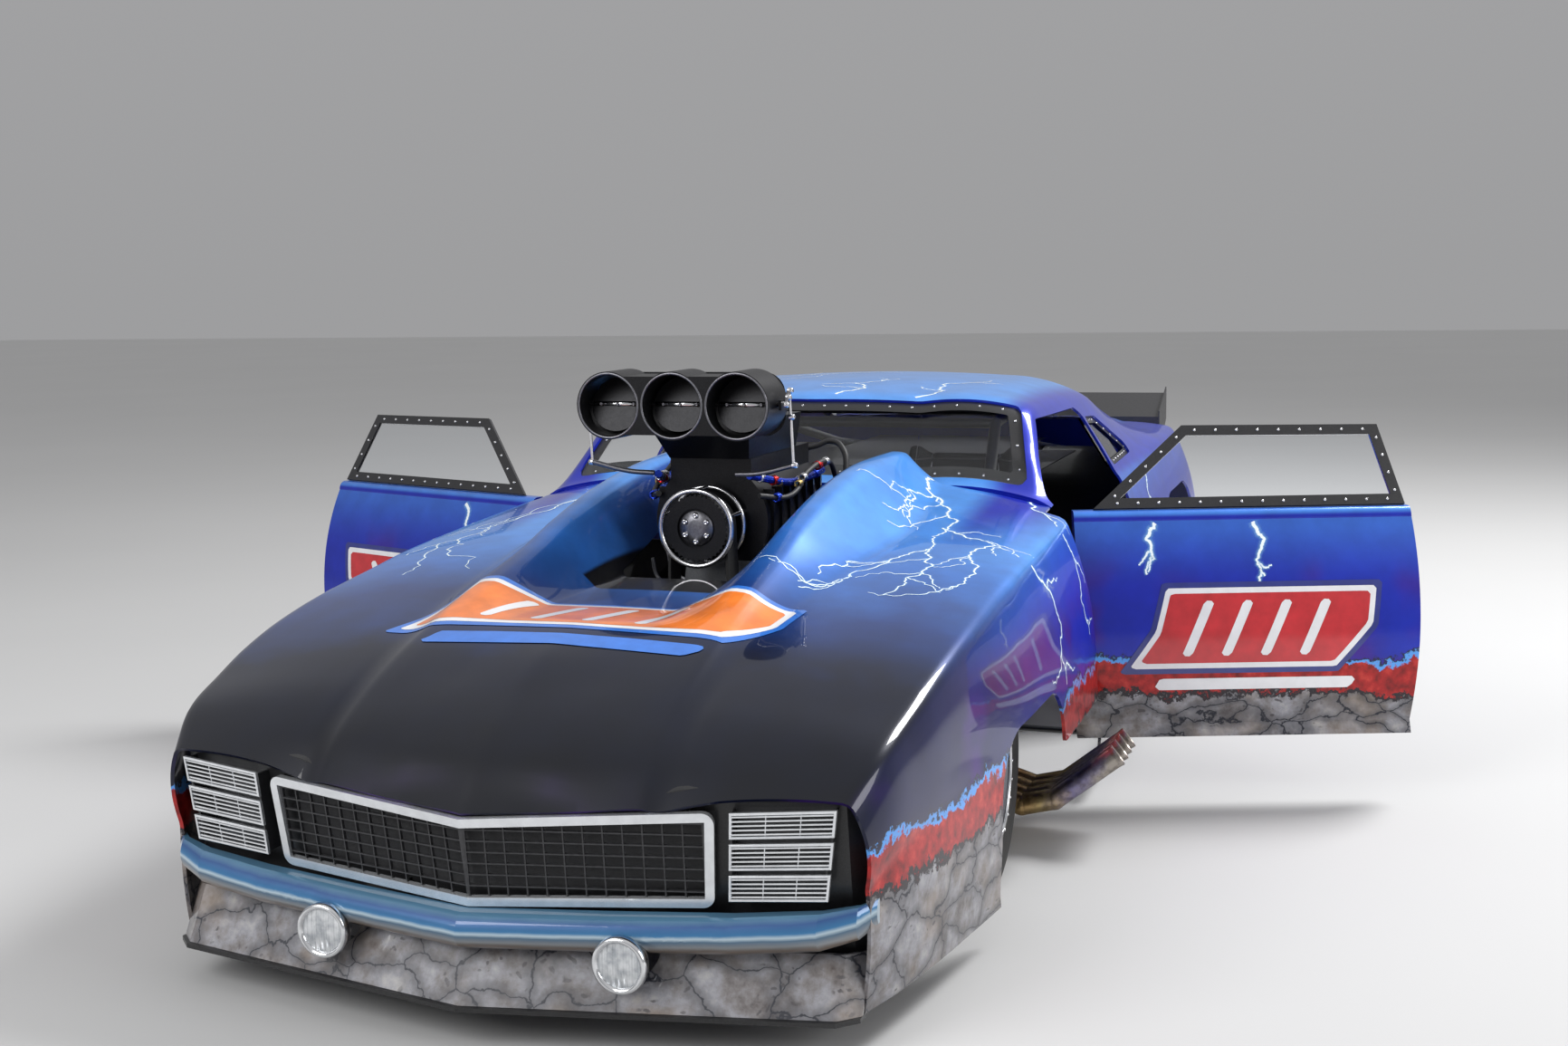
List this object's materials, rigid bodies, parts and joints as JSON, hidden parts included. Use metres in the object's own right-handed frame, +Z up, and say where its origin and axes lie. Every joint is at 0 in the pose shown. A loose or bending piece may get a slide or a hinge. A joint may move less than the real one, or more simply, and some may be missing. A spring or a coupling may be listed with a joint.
{
  "type": "drag racing car",
  "caption": "Full-size doors-open drag racing coupe with a tube chassis, an open supercharged engine, narrow front tyres, wide rear slicks and a wheelie bar",
  "frame": {"origin": "centre of the bounding box's base, on the ground", "axes": "+X the car's left, -Y the way it faces, +Z up"},
  "size_m": [3.7582, 5.7, 1.3405],
  "materials": {
    "front_clip": "gloss",
    "main_body": "gloss",
    "left_door": "gloss",
    "right_door": "gloss",
    "windshield": "clear",
    "rear_windows": "clear",
    "left_door_window": "clear",
    "right_door_window": "clear",
    "left_door_window_frame": "satin",
    "right_door_window_frame": "satin",
    "grille_frame": "gloss",
    "grille": "satin",
    "lamp_louvres": "gloss",
    "front_bumper": "gloss",
    "front_valance": "gloss",
    "front_splitter": "satin",
    "fog_lamps": "polished",
    "nose_panel": "satin",
    "left_front_tyre": "matt",
    "right_front_tyre": "matt",
    "left_rear_tyre": "matt",
    "right_rear_tyre": "matt",
    "left_front_wheel": "polished",
    "right_front_wheel": "polished",
    "left_rear_wheel": "polished",
    "right_rear_wheel": "polished",
    "left_knuckle": "satin",
    "right_knuckle": "satin",
    "front_suspension": "satin",
    "steering_rack": "satin",
    "tie_rods": "satin",
    "chassis": "satin",
    "roll_cage": "satin",
    "engine_block": "cast",
    "valve_covers": "satin",
    "intake_manifold": "anodised",
    "blower_case": "anodised",
    "blower_pulleys": "anodised",
    "blower_belt": "matt",
    "belt_guard": "satin",
    "injector_hat": "satin",
    "throttle_plates": "satin",
    "headers": "heat tinted",
    "door_hinges": "satin",
    "cabin_tinwork": "satin",
    "wheel_tubs": "satin",
    "seat": "matt",
    "steering_wheel": "matt",
    "driveline": "cast",
    "rear_axle": "satin",
    "rear_suspension": "satin",
    "wheelie_bar": "satin",
    "wheelie_wheels": "satin",
    "rear_spoiler": "gloss",
    "tail_lamps": "gloss",
    "rear_bumper": "gloss",
    "parachute_packs": "matt"
  },
  "bodies": {
    "car": {"front_clip": "front_clip", "main_body": "main_body", "windshield": "windshield", "rear_windows": "rear_windows", "grille_frame": "grille_frame", "grille": "grille", "lamp_louvres": "lamp_louvres", "front_bumper": "front_bumper", "front_valance": "front_valance", "front_splitter": "front_splitter", "fog_lamps": "fog_lamps", "nose_panel": "nose_panel", "front_suspension": "front_suspension", "steering_rack": "steering_rack", "chassis": "chassis", "roll_cage": "roll_cage", "engine_block": "engine_block", "valve_covers": "valve_covers", "intake_manifold": "intake_manifold", "blower_case": "blower_case", "blower_pulleys": "blower_pulleys", "blower_belt": "blower_belt", "belt_guard": "belt_guard", "injector_hat": "injector_hat", "throttle_plates": "throttle_plates", "headers": "headers", "door_hinges": "door_hinges", "cabin_tinwork": "cabin_tinwork", "wheel_tubs": "wheel_tubs", "seat": "seat", "steering_wheel": "steering_wheel", "driveline": "driveline", "rear_axle": "rear_axle", "rear_suspension": "rear_suspension", "wheelie_bar": "wheelie_bar", "rear_spoiler": "rear_spoiler", "tail_lamps": "tail_lamps", "rear_bumper": "rear_bumper", "parachute_packs": "parachute_packs"},
    "left_door_body": {"left_door": "left_door", "left_door_window_frame": "left_door_window_frame", "left_door_window": "left_door_window"},
    "right_door_body": {"right_door": "right_door", "right_door_window_frame": "right_door_window_frame", "right_door_window": "right_door_window"},
    "left_steer": {"left_knuckle": "left_knuckle"},
    "right_steer": {"right_knuckle": "right_knuckle"},
    "rack": {"tie_rods": "tie_rods"},
    "left_front_roller": {"left_front_wheel": "left_front_wheel", "left_front_tyre": "left_front_tyre"},
    "right_front_roller": {"right_front_wheel": "right_front_wheel", "right_front_tyre": "right_front_tyre"},
    "left_rear_roller": {"left_rear_wheel": "left_rear_wheel", "left_rear_tyre": "left_rear_tyre"},
    "right_rear_roller": {"right_rear_wheel": "right_rear_wheel", "right_rear_tyre": "right_rear_tyre"},
    "wheelie_roller": {"wheelie_wheels": "wheelie_wheels"}
  },
  "joints": [
    {"name": "left_door_hinge", "type": "hinge", "parent": "car", "child": "left_door_body", "pos_m": [0.945, -0.73, 0.45], "axis": [0, 0, 1], "range_deg": [-6, 71]},
    {"name": "right_door_hinge", "type": "hinge", "parent": "car", "child": "right_door_body", "pos_m": [-0.945, -0.73, 0.45], "axis": [0, 0, -1], "range_deg": [-6, 71]},
    {"name": "left_steering", "type": "hinge", "parent": "car", "child": "left_steer", "pos_m": [0.7, -1.62, 0.31], "axis": [0, 0, 1], "range_deg": [-15, 15]},
    {"name": "right_steering", "type": "hinge", "parent": "car", "child": "right_steer", "pos_m": [-0.7, -1.62, 0.31], "axis": [0, 0, 1], "range_deg": [-15, 15]},
    {"name": "rack_travel", "type": "slide", "parent": "car", "child": "rack", "axis": [1, 0, 0], "range_m": [-0.0315, 0.0315]},
    {"name": "left_front_wheel_spin", "type": "hinge", "parent": "left_steer", "child": "left_front_roller", "pos_m": [0.815, -1.62, 0.31], "axis": [1, 0, 0], "continuous": true},
    {"name": "right_front_wheel_spin", "type": "hinge", "parent": "right_steer", "child": "right_front_roller", "pos_m": [-0.815, -1.62, 0.31], "axis": [1, 0, 0], "continuous": true},
    {"name": "left_rear_wheel_spin", "type": "hinge", "parent": "car", "child": "left_rear_roller", "pos_m": [0.67, 1.3, 0.43], "axis": [1, 0, 0], "continuous": true},
    {"name": "right_rear_wheel_spin", "type": "hinge", "parent": "car", "child": "right_rear_roller", "pos_m": [-0.67, 1.3, 0.43], "axis": [1, 0, 0], "continuous": true},
    {"name": "wheelie_wheel_spin", "type": "hinge", "parent": "car", "child": "wheelie_roller", "pos_m": [0, 2.795, 0.115], "axis": [1, 0, 0], "continuous": true}
  ],
  "couplings": [
    {"joint": "right_steering", "follows": "left_steering", "ratio": 1},
    {"joint": "rack_travel", "follows": "left_steering", "m_per_rad": 0.12},
    {"joint": "right_rear_wheel_spin", "follows": "left_rear_wheel_spin", "ratio": 1}
  ]
}
